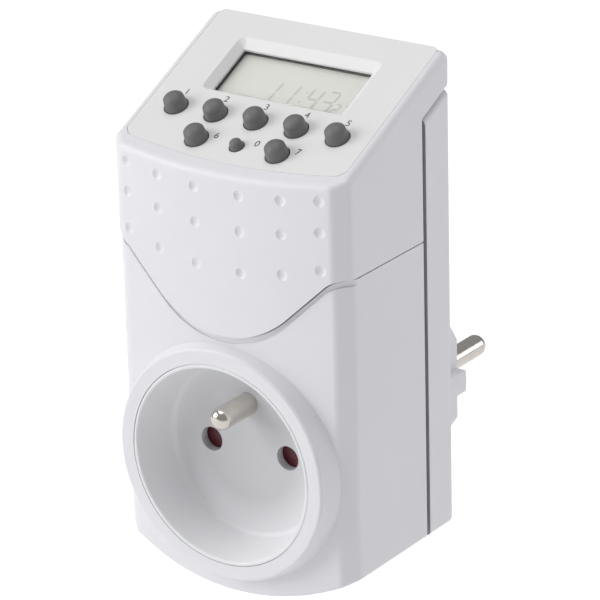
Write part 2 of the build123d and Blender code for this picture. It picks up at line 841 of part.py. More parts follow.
# ---- Shutter: a hub with two ramped wings that cover the pin holes ----
with BuildPart() as shutter:
    with BuildSketch(front_plane(shutter_front + shutter_thickness)):
        Circle(shutter_hub_radius)
        Rectangle(pin_spacing, shutter_arm)
        with Locations((-pin_x, 0), (pin_x, 0)):
            Circle(shutter_wing_radius)
        Circle(pivot_radius + pivot_clearance, mode=Mode.SUBTRACT)
    extrude(amount=shutter_thickness)
    chamfer(shutter.faces().sort_by(Axis.Y)[0].outer_wire().edges(), shutter_ramp)
    with BuildSketch(front_plane(shutter_back)):
        Circle(spring_radius + spring_wire / 2 + spring_room)
        with Locations((-spring_leg / 2 - spring_room, spring_radius)):
            Rectangle(spring_leg + 2 * spring_room, spring_wire + 2 * spring_room)
    extrude(amount=spring_pocket, mode=Mode.SUBTRACT)
save(shutter, "shutter")

# ---- Shutter spring: a torsion coil in the hub ----
# One end lies along the shutter's arm. The other stands in a curved slot of the contact carrier.
with BuildPart() as shutter_spring:
    with BuildLine() as spring_path:
        coil = Helix(
            spring_pitch,
            spring_pitch * spring_turns,
            spring_radius,
            center=(0, shutter_back - spring_pocket + (spring_room + spring_wire) / 2, 0),
            direction=(0, 1, 0),
        )
    with BuildSketch(Plane(origin=coil @ 0, z_dir=coil % 0)):
        Circle(spring_wire / 2)
    sweep(path=coil, is_frenet=True)
    with BuildSketch(Plane(origin=coil @ 0, z_dir=(-1, 0, 0))):
        Circle(spring_wire / 2)
    extrude(amount=spring_leg)
    with BuildSketch(Plane(origin=coil @ 1, z_dir=(0, 1, 0))):
        Circle(spring_wire / 2)
    extrude(amount=carrier_back - spring_room - (coil @ 1).Y)
save(shutter_spring, "shutter_spring")

# ---- Contact carrier: closes the back of the recess, with the shutter's pivot ----
spring_track = CenterArc((0, 0), spring_radius, 180 - shutter_opening, shutter_opening)
with BuildPart() as contact_carrier:
    with BuildSketch(front_plane(carrier_back)):
        Circle(carrier_radius)
        with Locations((-pin_x, 0), (pin_x, 0)):
            Circle(carrier_hole_diameter / 2, mode=Mode.SUBTRACT)
        with Locations((0, earth_height)):
            Circle(earth_neck_diameter / 2, mode=Mode.SUBTRACT)
        SlotArc(spring_track, spring_wire + 2 * spring_room, mode=Mode.SUBTRACT)
    extrude(amount=carrier_thickness)
    with BuildSketch(front_plane(carrier_front)):
        Circle(carrier_radius)
        Circle(carrier_radius - carrier_rim, mode=Mode.SUBTRACT)
    extrude(amount=carrier_front - cup_back)
    with BuildSketch(front_plane(carrier_front)):
        Circle(pivot_radius)
    extrude(amount=carrier_front - cup_back)
save(contact_carrier, "contact_carrier")


# ---- Current path ----
def contact_channel(x):
    """A contact at x: two leaves beside the pin's path and a web above it."""
    with BuildSketch(front_plane(contact_back)) as channel:
        with Locations((x, 0)):
            Rectangle(contact_gap + 2 * contact_metal, contact_height)
        with Locations((x, -contact_metal)):
            Rectangle(contact_gap, contact_height, mode=Mode.SUBTRACT)
    return extrude(channel.sketch, amount=contact_length, mode=Mode.PRIVATE)


def strap(start, end, x, half):
    """A flat strip at x, given by two opposite corners (y, z) of its side view."""
    with BuildSketch(Plane.YZ.offset(x - half)) as side:
        with Locations(((start[0] + end[0]) / 2, (start[1] + end[1]) / 2)):
            Rectangle(abs(end[0] - start[0]), abs(end[1] - start[1]))
    return extrude(side.sketch, amount=2 * half, mode=Mode.PRIVATE)


tab_front = pin_tail_end - strip_metal
web_low = strip_level - contact_metal
with BuildPart() as neutral_contact:
    add(contact_channel(-pin_x))
    add(strap((contact_back, web_low), (pin_tail_end, strip_level), -pin_x, strip_half_width))
    add(strap((tab_front, -strip_half_width), (pin_tail_end, strip_level), -pin_x, strip_half_width))
    with BuildSketch(front_plane(pin_tail_end)):
        with Locations((-pin_x, 0)):
            Circle(rivet_diameter / 2)
    extrude(amount=strip_metal, mode=Mode.SUBTRACT)
save(neutral_contact, "neutral_contact")

board_low = power_board_centre - power_board_height / 2
rung_top = board_low + strip_metal
with BuildPart() as live_contact:
    add(contact_channel(pin_x))
    add(strap((contact_back - strip_metal, web_low), (contact_back, rung_top), pin_x, strip_half_width))
    add(strap((contact_back, board_low), (power_board_face, rung_top), pin_x, strip_half_width))
save(live_contact, "live_contact")

feed_front = power_board_back_face + strip_metal
feed_top = board_low + 2 * strip_metal
with BuildPart() as live_feed:
    add(strap((tab_front, -strip_half_width), (pin_tail_end, strip_level), pin_x, strip_half_width))
    add(strap((feed_front, web_low), (pin_tail_end, strip_level), pin_x, strip_half_width))
    add(strap((feed_front, web_low), (feed_front + strip_metal, feed_top), pin_x, strip_half_width))
    feed_foot = (power_board_back_face, feed_top - strip_metal)
    add(strap(feed_foot, (feed_front, feed_top), pin_x, strip_half_width))
    with BuildSketch(front_plane(pin_tail_end)):
        with Locations((pin_x, 0)):
            Circle(rivet_diameter / 2)
    extrude(amount=strip_metal, mode=Mode.SUBTRACT)
save(live_feed, "live_feed")


def plug_pin(x, name):
    """A solid pin with a round tip, a head behind the end wall, and a riveted tail."""
    with BuildPart() as pin:
        with BuildSketch(front_plane(pin_length)):
            with Locations((x, 0)):
                Circle(pin_diameter / 2)
        extrude(amount=pin_length)
        fillet(pin.edges().sort_by(Axis.Y)[-1], pin_diameter / 2 - pin_tip_flat)
        with BuildSketch(front_plane(0)):
            with Locations((x, 0)):
                Circle(pin_neck_diameter / 2)
        extrude(amount=plug_end_wall)
        with BuildSketch(front_plane(-plug_end_wall)):
            with Locations((x, 0)):
                Circle(pin_head_diameter / 2)
        extrude(amount=pin_head_thickness)
        with BuildSketch(front_plane(-plug_end_wall - pin_head_thickness)):
            with Locations((x, 0)):
                Circle(pin_tail_diameter / 2)
        extrude(amount=-plug_end_wall - pin_head_thickness - pin_tail_end)
        with BuildSketch(front_plane(pin_tail_end)):
            with Locations((x, 0)):
                Circle(rivet_diameter / 2)
        extrude(amount=2 * strip_metal)
    save(pin, name)


plug_pin(pin_x, "plug_pin_live")
plug_pin(-pin_x, "plug_pin_neutral")

# ---- Earth path: strip from the socket's pin, clip with the two side contacts, and sleeve ----
earth_level = earth_height + earth_strip_rise
with BuildPart() as earth_strip:
    earth_foot = (carrier_back, earth_height - strip_half_width)
    add(strap(earth_foot, (carrier_back + strip_metal, earth_level), 0, strip_half_width))
    add(strap((carrier_back, earth_level - strip_metal), (clip_bar_front, earth_level), 0, strip_half_width))
    with BuildSketch(front_plane(carrier_back)):
        with Locations((0, earth_height)):
            Circle(rivet_diameter / 2)
    extrude(amount=-strip_metal, mode=Mode.SUBTRACT)
save(earth_strip, "earth_strip")

clip_half = earth_clip_width / 2
with BuildPart() as plug_earth_clip:
    add(strap((clip_bar_front, -clip_level), (clip_bar_front + strip_metal, clip_level), 0, clip_half))
    for side in (-1, 1):
        inside = side * (clip_level - strip_metal)
        add(strap((clip_bar_front, inside), (earth_clip_reach, side * clip_level), 0, clip_half))
    with BuildSketch(front_plane(clip_bar_front + strip_metal)):
        with Locations((0, earth_height)):
            Circle(rivet_diameter / 2)
    extrude(amount=strip_metal, mode=Mode.SUBTRACT)
save(plug_earth_clip, "plug_earth_clip")

with BuildPart() as plug_earth_sleeve:
    with BuildSketch(front_plane(earth_sleeve_mouth)):
        with Locations((0, earth_height)):
            Circle(earth_sleeve_diameter / 2)
    extrude(amount=earth_sleeve_mouth - clip_bar_front - strip_metal)
    with BuildSketch(front_plane(earth_sleeve_mouth)):
        with Locations((0, earth_height)):
            Circle(earth_bore_diameter / 2)
    extrude(amount=earth_bore_depth, mode=Mode.SUBTRACT)
    with BuildSketch(front_plane(clip_bar_front + strip_metal)):
        with Locations((0, earth_height)):
            Circle(rivet_diameter / 2)
    extrude(amount=strip_metal)
save(plug_earth_sleeve, "plug_earth_sleeve")

# ---- Power board and what stands on it ----
with BuildPart() as power_board:
    with BuildSketch(front_plane(power_board_back_face)):
        with Locations((0, power_board_centre)):
            Rectangle(power_board_width, power_board_height)
        with Locations(*power_post_spots):
            Circle(board_screw_radius + screw_gap, mode=Mode.SUBTRACT)
    extrude(amount=board_thickness)
save(power_board, "power_board")


def relay_plane(depth):
    """A sketch plane inside the relay, depth in front of the power board."""
    return Plane(origin=(relay_x, power_board_face - depth, relay_z), x_dir=(1, 0, 0), z_dir=(0, -1, 0))


with BuildPart() as relay_cover:
    with BuildSketch(relay_plane(0)):
        Rectangle(relay_length, relay_height)
    extrude(amount=relay_depth)
    fillet(relay_cover.edges().filter_by(Axis.Y), relay_wall)
    with BuildSketch(relay_plane(0)):
        Rectangle(relay_length - 2 * relay_wall, relay_height - 2 * relay_wall)
    extrude(amount=relay_depth - relay_wall, mode=Mode.SUBTRACT)
save(relay_cover, "relay_cover")

with BuildPart() as relay_base:
    with BuildSketch(relay_plane(0)):
        Rectangle(relay_length - 2 * relay_wall - screw_gap, relay_height - 2 * relay_wall - screw_gap)
    extrude(amount=relay_base_thickness)
save(relay_base, "relay_base")

coil_x = relay_length / 2 - relay_wall - coil_offset - coil_radius
yoke_floor = relay_base_thickness + yoke_metal
core_top = yoke_floor + coil_length + 2 * coil_flange
yoke_back = coil_x + coil_radius + coil_flange / 2
with BuildPart() as relay_coil:
    with BuildSketch(relay_plane(yoke_floor)):
        with Locations((coil_x, 0)):
            Circle(coil_radius)
    extrude(amount=coil_flange)
    with BuildSketch(relay_plane(yoke_floor + coil_flange)):
        with Locations((coil_x, 0)):
            Circle(coil_radius - coil_flange)
    extrude(amount=coil_length)
    with BuildSketch(relay_plane(yoke_floor + coil_flange + coil_length)):
        with Locations((coil_x, 0)):
            Circle(coil_radius)
    extrude(amount=coil_flange)
    with BuildSketch(relay_plane(yoke_floor)):
        with Locations((coil_x, 0)):
            Circle(core_radius + core_gap)
    extrude(amount=core_top - yoke_floor, mode=Mode.SUBTRACT)
save(relay_coil, "relay_coil")

armature_rest = core_top + armature_gap
with BuildPart() as relay_yoke:
    with BuildSketch(relay_plane(relay_base_thickness)):
        with Locations(((yoke_back + yoke_metal + coil_x - coil_radius) / 2, 0)):
            Rectangle(yoke_back + yoke_metal - coil_x + coil_radius, yoke_width)
    extrude(amount=yoke_metal)
    with BuildSketch(relay_plane(relay_base_thickness)):
        with Locations((yoke_back + yoke_metal / 2, 0)):
            Rectangle(yoke_metal, yoke_width)
    extrude(amount=armature_rest - armature_clearance - relay_base_thickness)
    with BuildSketch(relay_plane(relay_base_thickness)):
        with Locations((coil_x, 0)):
            Circle(core_radius)
    extrude(amount=core_top - relay_base_thickness)
save(relay_yoke, "relay_yoke")

armature_end = yoke_back + yoke_metal - armature_length
with BuildPart() as relay_armature:
    with BuildSketch(relay_plane(armature_rest)):
        with Locations(((yoke_back + yoke_metal + armature_end) / 2, 0)):
            Rectangle(armature_length, yoke_width)
    extrude(amount=armature_metal)
    spring_end = contact_x - contact_button_radius
    with BuildSketch(relay_plane(armature_rest + armature_metal)):
        with Locations(((yoke_back + spring_end) / 2, 0)):
            Rectangle(yoke_back - spring_end, yoke_width / 2)
    extrude(amount=spring_metal)
    with BuildSketch(relay_plane(armature_rest + armature_metal - button_height)):
        with Locations((contact_x, 0)):
            Circle(contact_button_radius)
    extrude(amount=button_height)
save(relay_armature, "relay_armature")

fixed_top = armature_rest + armature_metal - button_height - contact_opening
with BuildPart() as relay_fixed_contact:
    with BuildSketch(relay_plane(relay_base_thickness)):
        with Locations((contact_x, 0)):
            Rectangle(spring_metal, yoke_width / 2)
    extrude(amount=fixed_top - button_height - relay_base_thickness)
    with BuildSketch(relay_plane(fixed_top - button_height - spring_metal)):
        with Locations((contact_x, 0)):
            Rectangle(2 * contact_button_radius, yoke_width / 2)
    extrude(amount=spring_metal)
    with BuildSketch(relay_plane(fixed_top - button_height)):
        with Locations((contact_x, 0)):
            Circle(contact_button_radius)
    extrude(amount=button_height)
save(relay_fixed_contact, "relay_fixed_contact")

with BuildPart() as film_capacitor:
    with BuildSketch(front_plane(power_board_face)):
        with Locations((film_x, film_z)):
            Rectangle(film_width, film_height)
    extrude(amount=film_depth)
    fillet(film_capacitor.edges().filter_by(Axis.Y), board_thickness / 2)
save(film_capacitor, "film_capacitor")

with BuildPart() as electrolytic_capacitor:
    with BuildSketch(front_plane(power_board_face)):
        with Locations((electrolytic_x, electrolytic_z)):
            Circle(electrolytic_radius)
    extrude(amount=electrolytic_height)
    fillet(electrolytic_capacitor.edges().sort_by(Axis.Y)[0], electrolytic_radius / 8)
save(electrolytic_capacitor, "electrolytic_capacitor")

diode_z = relay_z - relay_height / 2 - diode_gap - diode_radius
with BuildPart() as rectifier_diodes:
    for x in (relay_x + diode_shift, relay_x + diode_shift + diode_pitch):
        with BuildSketch(Plane.YZ.offset(x - diode_length / 2)):
            with Locations((power_board_face - diode_radius, diode_z)):
                Circle(diode_radius)
        extrude(amount=diode_length)
save(rectifier_diodes, "rectifier_diodes")

control_board_back = control_board_depth + control_board_thickness
with BuildPart() as backup_cell:
    with BuildSketch(on_panel(control_board_back)):
        with Locations((cell_x, control_board_top - cell_rear)):
            Circle(cell_radius)
    extrude(amount=-cell_thickness)
    fillet(backup_cell.edges().sort_by(Axis(panel_plane.origin, panel_plane.z_dir))[0], cell_thickness / 8)
save(backup_cell, "backup_cell")

# ---- Ribbon between the two boards ----
board_top = power_board_centre + power_board_height / 2
ribbon_foot = panel_plane.from_local_coords((0, key_row + ribbon_rear, -control_board_back))
with BuildPart() as ribbon_cable:
    with BuildSketch(Plane.YZ.offset(ribbon_x)):
        with BuildLine():
            FilletPolyline(
                (power_board_face - ribbon_thickness / 2, board_top - ribbon_overlap),
                (power_board_face - ribbon_thickness / 2, board_top + ribbon_bend),
                (ribbon_foot.Y + ribbon_bend * sin(slope), ribbon_foot.Z - ribbon_bend * cos(slope)),
                (ribbon_foot.Y, ribbon_foot.Z),
                radius=ribbon_bend / 3,
            )
        trace(line_width=ribbon_thickness)
    extrude(amount=ribbon_width / 2, both=True)
    with BuildSketch(on_panel(control_board_back)):
        Rectangle(4 * casing_width, 8 * casing_depth)
    extrude(amount=control_board_back, mode=Mode.SUBTRACT)
save(ribbon_cable, "ribbon_cable")

# ---- Screws: each set is one node of separate solids ----
with BuildPart() as case_screws:
    with BuildSketch(front_plane(rear_face - case_head_recess + case_screw_head)):
        with Locations(*case_screw_spots):
            Circle(case_screw_head_radius)
    extrude(amount=case_screw_head)
    with BuildSketch(front_plane(rear_face - case_head_recess)):
        with Locations(*case_screw_spots):
            Circle(case_screw_radius)
    extrude(amount=rear_face - case_head_recess - front_shell_back + case_screw_reach)
    with BuildSketch(front_plane(rear_face - case_head_recess + case_screw_head)):
        for spot in case_screw_spots:
            with Locations(spot):
                Rectangle(2 * case_screw_radius, case_screw_slot)
                Rectangle(case_screw_slot, 2 * case_screw_radius)
    extrude(amount=case_screw_head / 2, mode=Mode.SUBTRACT)
save(case_screws, "case_screws")

with BuildPart() as board_screws:
    with BuildSketch(on_panel(control_board_back)):
        with Locations(*panel_posts):
            Circle(board_screw_head_radius)
    extrude(amount=-board_screw_head)
    with BuildSketch(on_panel(control_board_back)):
        with Locations(*panel_posts):
            Circle(board_screw_radius)
    extrude(amount=control_board_thickness + board_screw_reach - screw_gap)
    with BuildSketch(front_plane(power_board_face)):
        with Locations(*power_post_spots):
            Circle(board_screw_head_radius)
    extrude(amount=board_screw_head)
    with BuildSketch(front_plane(power_board_face)):
        with Locations(*power_post_spots):
            Circle(board_screw_radius)
    extrude(amount=screw_gap - board_thickness - board_screw_reach)
save(board_screws, "board_screws")
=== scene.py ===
from math import cos, radians, sin

import bmesh
import bpy
from mathutils import Matrix, Vector


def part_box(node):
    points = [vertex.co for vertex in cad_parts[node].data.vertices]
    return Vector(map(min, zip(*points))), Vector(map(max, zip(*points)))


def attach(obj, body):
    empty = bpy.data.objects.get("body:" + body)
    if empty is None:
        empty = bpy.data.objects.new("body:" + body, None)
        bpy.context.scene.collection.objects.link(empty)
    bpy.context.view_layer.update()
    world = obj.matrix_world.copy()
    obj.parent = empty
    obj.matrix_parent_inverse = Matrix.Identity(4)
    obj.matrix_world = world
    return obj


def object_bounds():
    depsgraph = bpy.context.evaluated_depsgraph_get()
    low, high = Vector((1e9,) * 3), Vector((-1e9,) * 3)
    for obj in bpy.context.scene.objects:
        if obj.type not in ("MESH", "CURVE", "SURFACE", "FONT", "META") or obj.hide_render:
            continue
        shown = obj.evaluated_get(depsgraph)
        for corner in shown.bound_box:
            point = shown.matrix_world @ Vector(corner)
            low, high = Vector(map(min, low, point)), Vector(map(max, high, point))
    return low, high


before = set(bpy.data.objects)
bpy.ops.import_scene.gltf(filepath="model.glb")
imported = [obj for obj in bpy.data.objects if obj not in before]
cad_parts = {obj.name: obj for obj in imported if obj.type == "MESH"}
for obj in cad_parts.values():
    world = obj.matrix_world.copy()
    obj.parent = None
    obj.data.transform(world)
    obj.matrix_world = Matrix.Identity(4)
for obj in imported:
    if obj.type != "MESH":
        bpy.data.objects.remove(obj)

cad_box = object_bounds()

# Plug-in digital timer switch, dressed in its finishes.
# Metres, +Z up, front towards -Y, with the origin in the middle of the plug's end face.
MM = 0.001

# ---- Camera ----
camera_place = Vector((406.79, -607.71, 301.77)) * MM
camera_turn = radians(35.380)       # round Z, from the view along +Y
camera_dip = radians(21.421)
camera_roll = radians(1.506)
camera_lens = 220.23
sensor_width = 36.0
camera_near = 0.01
camera_far = 20.0

# ---- Lamps and surroundings ----
timer_middle = Vector((0, -0.04, 0.03))
lamp_distance = 3.0
lamps = (                           # name, place in lamp distances, side in metres, watts
    ("left_light", (-0.66, -0.62, 0.42), 1.9, 44.5),
    ("right_light", (0.70, 0.66, 0.28), 1.4, 14.5),
    ("top_light", (-0.05, -0.10, 0.99), 2.0, 29.0),
)
surround_light = 0.32
surround_colour = (0.96, 0.97, 1.0)
background_white = (1.0, 1.0, 1.0)
floor_drop = 0.16                   # from the timer's lowest point
floor_half = 3.0
floor_colour = (0.93, 0.93, 0.93)
floor_glow = 0.30                   # lifts the pale floor to white where the camera sees it
floor_bounce = 0.13                 # soft light that the pale floor throws up

# ---- Textures ----
noise_low, noise_high = 0.3, 0.7    # most of a noise's values lie between these
wave_unit = 0.3                     # metres from band to band, at a wave's scale of 1
flow_size = 18 * MM
skin_grain = 0.25 * MM
skin_detail = 3.0
skin_depth = 0.004 * MM
skin_spread = 0.05                  # of roughness, either way
metal_depth = 0.002 * MM
ring_spacing = 0.12 * MM
ring_waver = 0.4
ring_strength = 0.5
patch_size = 2.5 * MM               # the dull patches on plated metal
patch_start = 0.35                  # the noise's value where a patch begins to clear
patch_shade = 0.94
patch_gloss, patch_haze = 0.02, 0.04    # taken from and added to the metal's roughness
streak_size = 0.2 * MM
streak_stretch = (1, 0.08, 1)       # long along Y
streak_spread = 0.08                # of roughness, either way
lane_size = 6 * MM                  # the circuit boards' lanes of tracks
track_width = 0.05                  # of a lane
track_depth = 0.03 * MM
track_strength = 0.6
lacquer_roughness = 0.35
smear_size = 6 * MM
smear_haze = 0.03                   # added to the acrylic's roughness
acrylic_ior = 1.49
wire_spacing = 0.15 * MM
wire_depth = 0.05 * MM
enamel_roughness = 0.3
enamel_metallic = 0.6

# ---- Casing, and the painted shade in the socket's recess and the parting gap ----
casing_colour = (0.84, 0.835, 0.865)
casing_roughness = 0.42
# painted shade on the socket's floor: none at recess_rim, full at recess_middle
recess_rim = 19.2 * MM              # from the socket's axis
recess_middle = 11.0 * MM
# painted shade in the parting gap: the rear shell darkens beyond parting_edge
parting_edge = 30.70 * MM           # from the plug's end face
parting_blend = 0.15 * MM

# ---- Control panel ----
panel_slope = radians(25.7)
key_pitch = 9.83 * MM
key_row = -29.00 * MM               # along the slope, from the panel's rear edge
key_lower_row = -36.40 * MM
window_centre = -15.35 * MM
display_depth = 3.0 * MM            # the display's face, below the panel's
print_lift = 0.02 * MM
print_thickness = 0.02 * MM

number_size = 2.3 * MM
number_above = 3.6 * MM             # up the slope from its key, in the upper row
number_beside = 3.9 * MM            # to the right of its key, in the lower row
number_rise = 1.0 * MM
upper_numbers = "12345"
lower_numbers = "607"

# ---- Display figures, measured from the window's middle ----
figure_low = -5.6 * MM
figure_slant = 0.10
segment_gap = 0.12                  # of a stroke, left clear at each end of a segment
time_figures = (("1", -5.2), ("1", -0.8), ("4", 5.1), ("3", 8.8))      # left edges in mm
time_size = (2.5 * MM, 6.0 * MM, 0.62 * MM)                            # width, height, stroke
second_figures = (("2", 12.2), ("7", 14.2))
second_size = (1.3 * MM, 3.0 * MM, 0.42 * MM)
colon_left, colon_right = 3.6 * MM, 4.3 * MM
colon_heights = (-3.8 * MM, -1.0 * MM)
colon_stroke = 0.6 * MM

# The lit segments of each figure in use, lettered a to g: clockwise from the top, g in the middle.
segments = {"1": "bc", "2": "abged", "3": "abgcd", "4": "fgbc", "7": "abc"}


# ---- Stage ----
def camera_frame():
    """The camera's right, up and back directions."""
    right = Vector((cos(camera_turn), sin(camera_turn), 0))
    level = cos(camera_dip)
    forward = Vector((-sin(camera_turn) * level, cos(camera_turn) * level, -sin(camera_dip)))
    up = right.cross(forward)
    rolled_right = cos(camera_roll) * right - sin(camera_roll) * up
    rolled_up = sin(camera_roll) * right + cos(camera_roll) * up
    return rolled_right, rolled_up, -forward


def add_camera():
    data = bpy.data.cameras.new("camera")
    data.lens = camera_lens
    data.sensor_width = sensor_width
    data.clip_start = camera_near
    data.clip_end = camera_far
    camera = bpy.data.objects.new("camera", data)
    right, up, back = camera_frame()
    turn = Matrix((right, up, back)).transposed().to_4x4()
    camera.matrix_world = Matrix.Translation(camera_place) @ turn
    bpy.context.scene.collection.objects.link(camera)
    bpy.context.scene.camera = camera


def add_lamp(name, place, size, power):
    """A square soft lamp at place that points at the timer."""
    data = bpy.data.lights.new(name, "AREA")
    data.size = size
    data.energy = power
    lamp = bpy.data.objects.new(name, data)
    lamp.location = place
    lamp.rotation_euler = (timer_middle - place).to_track_quat("-Z", "Y").to_euler()
    bpy.context.scene.collection.objects.link(lamp)


def new_material(name):
    material = bpy.data.materials.new(name)
    material.use_nodes = True
    material.node_tree.nodes.clear()
    return material, material.node_tree


def seen_directly(tree):
    """1 for the rays that show the background: straight and refracted ones."""
    path = tree.nodes.new("ShaderNodeLightPath")
    either = tree.nodes.new("ShaderNodeMath")
    either.operation = "MAXIMUM"
    tree.links.new(path.outputs["Is Camera Ray"], either.inputs[0])
    tree.links.new(path.outputs["Is Transmission Ray"], either.inputs[1])
    return either.outputs[0]


def add_world():
    """Soft light from all round, and a white background."""
    world = bpy.data.worlds.new("surroundings")
    world.use_nodes = True
    tree = world.node_tree
    tree.nodes.clear()
    soft = tree.nodes.new("ShaderNodeBackground")
    soft.inputs["Color"].default_value = (*surround_colour, 1)
    soft.inputs["Strength"].default_value = surround_light
    white = tree.nodes.new("ShaderNodeBackground")
    white.inputs["Color"].default_value = (*background_white, 1)
    mix = tree.nodes.new("ShaderNodeMixShader")
    output = tree.nodes.new("ShaderNodeOutputWorld")
    tree.links.new(seen_directly(tree), mix.inputs[0])
    tree.links.new(soft.outputs[0], mix.inputs[1])
    tree.links.new(white.outputs[0], mix.inputs[2])
    tree.links.new(mix.outputs[0], output.inputs["Surface"])
    bpy.context.scene.world = world


def floor_finish():
    """Matt and pale, with a glow that is stronger for the rays that show the background."""
    material, tree = new_material("floor")
    matt = tree.nodes.new("ShaderNodeBsdfDiffuse")
    matt.inputs["Color"].default_value = (*floor_colour, 1)
    glow = tree.nodes.new("ShaderNodeEmission")
    strength = tree.nodes.new("ShaderNodeMath")
    strength.operation = "MULTIPLY_ADD"
    strength.inputs[1].default_value = floor_glow
    strength.inputs[2].default_value = floor_bounce
    both = tree.nodes.new("ShaderNodeAddShader")
    output = tree.nodes.new("ShaderNodeOutputMaterial")
    tree.links.new(seen_directly(tree), strength.inputs[0])
    tree.links.new(strength.outputs[0], glow.inputs["Strength"])
    tree.links.new(matt.outputs[0], both.inputs[0])
    tree.links.new(glow.outputs[0], both.inputs[1])
    tree.links.new(both.outputs[0], output.inputs["Surface"])
    return material


def add_floor():
    """A plain floor below the timer, which hangs from its plug."""
    bm = bmesh.new()
    bmesh.ops.create_grid(bm, x_segments=1, y_segments=1, size=floor_half)
    bmesh.ops.translate(bm, verts=bm.verts, vec=(0, 0, cad_box[0][2] - floor_drop))
    mesh = bpy.data.meshes.new("floor")
    bm.to_mesh(mesh)
    bm.free()
    mesh.materials.append(floor_finish())
    floor = bpy.data.objects.new("floor", mesh)
    bpy.context.scene.collection.objects.link(floor)


# ---- Texture parts ----
def principled(name, colour, roughness, metallic=0.0):
    material, tree = new_material(name)
    shader = tree.nodes.new("ShaderNodeBsdfPrincipled")
    shader.inputs["Base Color"].default_value = (*colour, 1)
    shader.inputs["Roughness"].default_value = roughness
    shader.inputs["Metallic"].default_value = metallic
    output = tree.nodes.new("ShaderNodeOutputMaterial")
    tree.links.new(shader.outputs[0], output.inputs["Surface"])
    return material, tree, shader


def on_object(tree, node):
    """Let a node read its place in Object coordinates."""
    place = tree.nodes.new("ShaderNodeTexCoord")
    tree.links.new(place.outputs["Object"], node.inputs["Vector"])


def speckle(tree, size, detail=2.0):
    """Noise with blotches of about size metres."""
    noise = tree.nodes.new("ShaderNodeTexNoise")
    noise.inputs["Scale"].default_value = 1 / size
    noise.inputs["Detail"].default_value = detail
    on_object(tree, noise)
    return noise.outputs["Fac"]


def waves(tree, across, spacing):
    """Bands that follow each other along the axis across, spacing metres apart."""
    wave = tree.nodes.new("ShaderNodeTexWave")
    wave.bands_direction = across
    wave.inputs["Scale"].default_value = wave_unit / spacing
    on_object(tree, wave)
    return wave


def colour_by(tree, shader, source, low, high, first, last):
    """The shader's colour goes from first to last as source goes from low to high."""
    node = tree.nodes.new("ShaderNodeValToRGB")
    node.color_ramp.elements[0].position = low
    node.color_ramp.elements[1].position = high
    node.color_ramp.elements[0].color = (*first, 1)
    node.color_ramp.elements[1].color = (*last, 1)
    tree.links.new(source, node.inputs[0])
    tree.links.new(node.outputs["Color"], shader.inputs["Base Color"])


def roughen_by(tree, shader, source, low, high):
    """The shader's roughness goes from low to high over a noise's usual values."""
    node = tree.nodes.new("ShaderNodeMapRange")
    node.inputs["From Min"].default_value = noise_low
    node.inputs["From Max"].default_value = noise_high
    node.inputs["To Min"].default_value = low
    node.inputs["To Max"].default_value = high
    tree.links.new(source, node.inputs["Value"])
    tree.links.new(node.outputs["Result"], shader.inputs["Roughness"])


def dent_by(tree, shader, source, depth, strength=1.0):
    """The surface rises and falls with source."""
    bump = tree.nodes.new("ShaderNodeBump")
    bump.inputs["Distance"].default_value = depth
    bump.inputs["Strength"].default_value = strength
    tree.links.new(source, bump.inputs["Height"])
    tree.links.new(bump.outputs[0], shader.inputs["Normal"])


def add_skin(tree, shader, roughness, depth=skin_depth):
    """The fine grain of a spark-eroded mould."""
    skin = speckle(tree, skin_grain, skin_detail)
    roughen_by(tree, shader, skin, roughness - skin_spread, roughness + skin_spread)
    dent_by(tree, shader, skin, depth)


# ---- Finishes ----
def moulded(name, colour, roughness, depth=skin_depth, shade=0.985):
    """Injection-moulded plastic: a fine grain, and faint flow shades."""
    material, tree, shader = principled(name, colour, roughness)
    dim = tuple(shade * c for c in colour)
    colour_by(tree, shader, speckle(tree, flow_size), noise_low, noise_high, dim, colour)
    add_skin(tree, shader, roughness, depth)
    return material


def painted_shade_tone(name, colour, painted_shade_colour, roughness, reach, start, end):
    """Moulded plastic with painted shade: it turns from colour to a darker colour between two
    distances.

    They are measured from the origin, along the axes that reach keeps.
    """
    material, tree, shader = principled(name, colour, roughness)
    kept = tree.nodes.new("ShaderNodeMapping")
    kept.inputs["Scale"].default_value = reach
    away = tree.nodes.new("ShaderNodeVectorMath")
    away.operation = "LENGTH"
    share = tree.nodes.new("ShaderNodeMapRange")
    share.inputs["From Min"].default_value = start
    share.inputs["From Max"].default_value = end
    on_object(tree, kept)
    tree.links.new(kept.outputs[0], away.inputs[0])
    tree.links.new(away.outputs["Value"], share.inputs["Value"])
    colour_by(tree, shader, share.outputs["Result"], 0.0, 1.0, colour, painted_shade_colour)
    add_skin(tree, shader, roughness)
    return material


def turned(name, colour, roughness):
    """Turned and plated metal: fine rings along Y, with a few dull patches."""
    material, tree, shader = principled(name, colour, roughness, metallic=1.0)
    rings = waves(tree, "Y", ring_spacing)
    rings.inputs["Distortion"].default_value = ring_waver
    dent_by(tree, shader, rings.outputs["Fac"], metal_depth, ring_strength)
    patches = speckle(tree, patch_size)
    roughen_by(tree, shader, patches, roughness - patch_gloss, roughness + patch_haze)
    dull = tuple(patch_shade * c for c in colour)
    colour_by(tree, shader, patches, patch_start, noise_high, dull, colour)
    return material


def stamped(name, colour, roughness):
    """Stamped strip metal with a rolled streak along Y."""
    material, tree, shader = principled(name, colour, roughness, metallic=1.0)
    along = tree.nodes.new("ShaderNodeMapping")
    along.inputs["Scale"].default_value = streak_stretch
    streak = tree.nodes.new("ShaderNodeTexNoise")
    streak.inputs["Scale"].default_value = 1 / streak_size
    on_object(tree, along)
    tree.links.new(along.outputs[0], streak.inputs["Vector"])
    roughen_by(
        tree, shader, streak.outputs["Fac"], roughness - streak_spread, roughness + streak_spread
    )
    dent_by(tree, shader, streak.outputs["Fac"], metal_depth)
    return material


